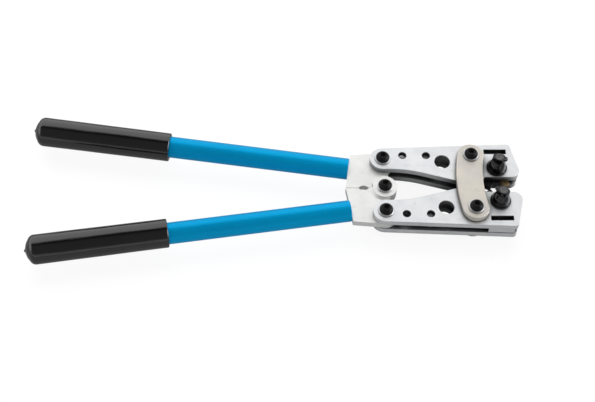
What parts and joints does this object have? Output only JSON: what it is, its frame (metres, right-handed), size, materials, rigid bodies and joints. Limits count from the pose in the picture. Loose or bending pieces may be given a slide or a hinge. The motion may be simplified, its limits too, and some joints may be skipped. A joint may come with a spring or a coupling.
{
  "type": "lug crimping tool",
  "caption": "Two-handed crimping tool for cable lugs: long levers work two jaws through a toggle, and wheels of hexagon nests turn in the jaws.",
  "frame": {"origin": "on the ground under the middle of the tool, which lies on its back", "axes": "+X from the grips to the nose, +Y to the upper lever, +Z out of the front face"},
  "size_m": [0.3764, 0.1308, 0.0416],
  "materials": {
    "jaw_zinc": "zinc plated, satin",
    "head_zinc": "zinc plated forging, satin",
    "link_zinc": "warm tinted zinc, satin",
    "bright_steel": "bright",
    "blued_steel": "blued",
    "black_screw": "black oxide",
    "blue_paint": "satin paint",
    "black_grip": "glossy dipped vinyl",
    "black_knob": "moulded, semi gloss",
    "knob_cap": "moulded, satin"
  },
  "bodies": {
    "lower_lever": {"lower_lever_head": "head_zinc", "lower_handle_tube": "blue_paint", "lower_grip": "black_grip", "centre_pin": "bright_steel", "centre_screws": "black_screw", "centre_washers": "bright_steel"},
    "upper_lever": {"upper_lever_head": "head_zinc", "upper_handle_tube": "blue_paint", "upper_grip": "black_grip"},
    "lower_jaw": {"lower_jaw_front_plate": "jaw_zinc", "lower_jaw_back_plate": "jaw_zinc", "lower_nose_block": "jaw_zinc", "lower_spacer_sleeve": "bright_steel", "lower_rear_pin": "bright_steel", "lower_rear_screws": "black_screw", "lower_rear_washers": "bright_steel", "lower_knob_seat": "black_knob"},
    "upper_jaw": {"upper_jaw_front_plate": "jaw_zinc", "upper_jaw_back_plate": "jaw_zinc", "upper_nose_block": "jaw_zinc", "upper_spacer_sleeve": "bright_steel", "upper_rear_pin": "bright_steel", "upper_rear_screws": "black_screw", "upper_rear_washers": "bright_steel", "upper_knob_seat": "black_knob"},
    "link": {"front_link_plate": "link_zinc", "back_link_plate": "link_zinc", "lower_link_pin": "bright_steel", "upper_link_pin": "bright_steel", "link_screws": "black_screw", "link_washers": "bright_steel"},
    "lower_die": {"lower_die_wheel": "blued_steel", "lower_die_axle": "blued_steel", "lower_thrust_washer": "bright_steel", "lower_retaining_ring": "blued_steel", "lower_spindle_screw": "bright_steel"},
    "upper_die": {"upper_die_wheel": "blued_steel", "upper_die_axle": "blued_steel", "upper_thrust_washer": "bright_steel", "upper_retaining_ring": "blued_steel", "upper_spindle_screw": "bright_steel"},
    "lower_knob": {"lower_knob": "black_knob", "lower_knob_cap": "knob_cap", "lower_knob_spring": "bright_steel"},
    "upper_knob": {"upper_knob": "black_knob", "upper_knob_cap": "knob_cap", "upper_knob_spring": "bright_steel"}
  },
  "joints": [
    {"name": "handle_opening", "type": "hinge", "parent": "lower_lever", "child": "upper_lever", "pos_m": [0.08337, 0, 0.0181], "axis": [0, 0, -1], "range_deg": [0, 70]},
    {"name": "lower_jaw_pivot", "type": "hinge", "parent": "lower_lever", "child": "lower_jaw", "pos_m": [0.08257, -0.0239, 0.0181], "axis": [0, 0, -1], "range_deg": [0, 37.67]},
    {"name": "link_pivot", "type": "hinge", "parent": "lower_jaw", "child": "link", "pos_m": [0.15077, -0.0239, 0.0181], "axis": [0, 0, 1], "range_deg": [0, 2.67]},
    {"name": "upper_jaw_pivot", "type": "hinge", "parent": "link", "child": "upper_jaw", "pos_m": [0.15077, 0.0239, 0.0181], "axis": [0, 0, 1], "range_deg": [0, 2.67]},
    {"name": "lower_die_turn", "type": "hinge", "parent": "lower_jaw", "child": "lower_die", "pos_m": [0.17087, -0.0152, 0.0181], "axis": [0, 0, 1], "continuous": true},
    {"name": "lower_knob_pull", "type": "slide", "parent": "lower_die", "child": "lower_knob", "axis": [0, 0, 1], "range_m": [0, 0.003], "stiffness_N_per_m": 1500, "springref_m": -0.002, "deforming": ["lower_knob_spring"]},
    {"name": "upper_die_turn", "type": "hinge", "parent": "upper_jaw", "child": "upper_die", "pos_m": [0.17087, 0.0152, 0.0181], "axis": [0, 0, 1], "continuous": true},
    {"name": "upper_knob_pull", "type": "slide", "parent": "upper_die", "child": "upper_knob", "axis": [0, 0, 1], "range_m": [0, 0.003], "stiffness_N_per_m": 1500, "springref_m": -0.002, "deforming": ["upper_knob_spring"]}
  ],
  "couplings": [
    {"joint": "lower_jaw_pivot", "follows": "handle_opening", "ratio": 0.5375},
    {"joint": "link_pivot", "follows": "handle_opening", "ratio": 0.0375},
    {"joint": "upper_jaw_pivot", "follows": "handle_opening", "ratio": 0.0375}
  ]
}
